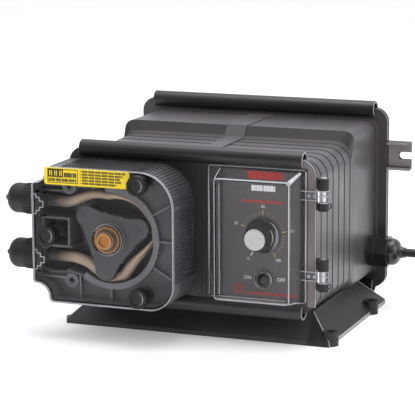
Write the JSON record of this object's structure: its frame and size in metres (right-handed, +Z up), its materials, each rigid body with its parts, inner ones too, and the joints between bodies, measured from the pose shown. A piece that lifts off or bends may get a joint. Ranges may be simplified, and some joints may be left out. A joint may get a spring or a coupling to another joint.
{
  "type": "peristaltic pump",
  "caption": "Roller-type peristaltic metering pump with a clear-fronted pump head, capped side ports, and a speed dial and switch under a hinged clear cover, on a bolt-down case.",
  "frame": {"origin": "on the floor, at the centre of the foot's mounting holes", "axes": "+X right along the longest side, +Y back, away from the pump head, +Z up, normal to the foot's bolt pattern"},
  "size_m": [0.4399, 0.249, 0.1847],
  "materials": {
    "foot_plastic": "black moulded plastic",
    "steel": "turned steel",
    "case_plastic": "dark grey moulded plastic with a soft sheen",
    "panel_plastic": "black moulded plastic",
    "rail_plastic": "smooth black extrusion",
    "black_rubber": "soft black rubber",
    "head_plastic": "dark grey moulded plastic",
    "clear_plastic": "clear moulded plastic",
    "bronze": "turned bronze",
    "yellow_label": "printed film",
    "knob_plastic": "black knurled plastic",
    "tube_rubber": "beige elastomer",
    "fitting_plastic": "dark moulded plastic",
    "cap_plastic": "black moulded plastic",
    "rotor_plastic": "dark grey machined plastic",
    "roller_plastic": "smooth black plastic",
    "gearbox_metal": "die-cast metal",
    "motor_metal": "grey painted metal",
    "faceplate_film": "dark grey printed film",
    "knob_metal": "spun aluminium disc",
    "pot_metal": "plated can",
    "switch_plastic": "black plastic",
    "switch_rubber": "soft black boot",
    "hinge_plastic": "black plastic",
    "board_green": "green laminate",
    "board_black": "dark component bodies",
    "terminal_ivory": "ivory plastic",
    "gland_plastic": "black nylon",
    "cord_rubber": "black flexible jacket",
    "plug_metal": "plated blades"
  },
  "bodies": {
    "pump_body": {"foot": "foot_plastic", "foot_screws": "steel", "case_body": "case_plastic", "front_gasket": "black_rubber", "front_panel": "panel_plastic", "rear_gasket": "black_rubber", "rear_cover": "panel_plastic", "front_top_rail": "rail_plastic", "front_bottom_rail": "rail_plastic", "rear_top_rail": "rail_plastic", "rear_bottom_rail": "rail_plastic", "head_body": "head_plastic", "head_screws": "steel", "head_cover": "clear_plastic", "cover_bearing": "bronze", "cover_label": "yellow_label", "cover_thumb_screws": "knob_plastic", "pump_tube": "tube_rubber", "inlet_fitting": "fitting_plastic", "outlet_fitting": "fitting_plastic", "gearbox": "gearbox_metal", "motor": "motor_metal", "motor_screws": "steel", "faceplate": "faceplate_film", "speed_pot": "pot_metal", "switch_body": "switch_plastic", "switch_bezel": "switch_plastic", "hinge_brackets": "hinge_plastic", "hinge_pins": "steel", "circuit_board": "board_green", "board_posts": "steel", "board_parts": "board_black", "terminal_block": "terminal_ivory", "gland_seal": "black_rubber", "gland_body": "gland_plastic", "gland_locknut": "gland_plastic", "gland_nut": "gland_plastic", "power_cord": "cord_rubber", "cord_coil": "cord_rubber", "cord_tie": "cord_rubber", "plug_lead": "cord_rubber", "plug_body": "cord_rubber", "plug_blades": "plug_metal"},
    "rotor": {"drive_shaft": "steel", "rotor_front_plate": "rotor_plastic", "rotor_rear_plate": "rotor_plastic", "rotor_hub": "rotor_plastic", "roller_pins": "steel"},
    "roller_1_body": {"roller_1": "roller_plastic"},
    "roller_2_body": {"roller_2": "roller_plastic"},
    "roller_3_body": {"roller_3": "roller_plastic"},
    "speed_knob": {"knob_skirt": "knob_plastic", "knob_cap": "knob_metal", "pot_shaft": "steel"},
    "power_switch": {"switch_lever": "switch_rubber"},
    "clear_cover": {"control_cover": "clear_plastic"},
    "inlet_cap_body": {"inlet_cap": "cap_plastic"},
    "outlet_cap_body": {"outlet_cap": "cap_plastic"}
  },
  "joints": [
    {"name": "rotor_spin", "type": "hinge", "parent": "pump_body", "child": "rotor", "pos_m": [-0.0575, -0.103, 0.0905], "axis": [0, 1, 0], "continuous": true, "deforming": ["pump_tube"]},
    {"name": "roller_1_spin", "type": "hinge", "parent": "rotor", "child": "roller_1_body", "pos_m": [-0.03109, -0.103, 0.10038], "axis": [0, 1, 0], "continuous": true},
    {"name": "roller_2_spin", "type": "hinge", "parent": "rotor", "child": "roller_2_body", "pos_m": [-0.07926, -0.103, 0.10844], "axis": [0, 1, 0], "continuous": true},
    {"name": "roller_3_spin", "type": "hinge", "parent": "rotor", "child": "roller_3_body", "pos_m": [-0.06215, -0.103, 0.06269], "axis": [0, 1, 0], "continuous": true},
    {"name": "speed_knob_turn", "type": "hinge", "parent": "pump_body", "child": "speed_knob", "pos_m": [0.0662, -0.09, 0.095], "axis": [0, 1, 0], "range_deg": [-35, 262]},
    {"name": "switch_toggle", "type": "hinge", "parent": "pump_body", "child": "power_switch", "pos_m": [0.0668, -0.071, 0.0574], "axis": [0, 0, 1], "range_deg": [-22, 0]},
    {"name": "control_cover_hinge", "type": "hinge", "parent": "pump_body", "child": "clear_cover", "pos_m": [0.1196, -0.0775, 0.097], "axis": [0, 0, 1], "range_deg": [0, 110]},
    {"name": "inlet_cap_pull", "type": "slide", "parent": "pump_body", "child": "inlet_cap_body", "axis": [-1, 0, 0], "range_m": [0, 0.025]},
    {"name": "outlet_cap_pull", "type": "slide", "parent": "pump_body", "child": "outlet_cap_body", "axis": [-1, 0, 0], "range_m": [0, 0.025]}
  ],
  "couplings": [
    {"joint": "roller_1_spin", "follows": "rotor_spin", "ratio": -4.5696},
    {"joint": "roller_2_spin", "follows": "rotor_spin", "ratio": -4.5696},
    {"joint": "roller_3_spin", "follows": "rotor_spin", "ratio": -4.5696}
  ]
}
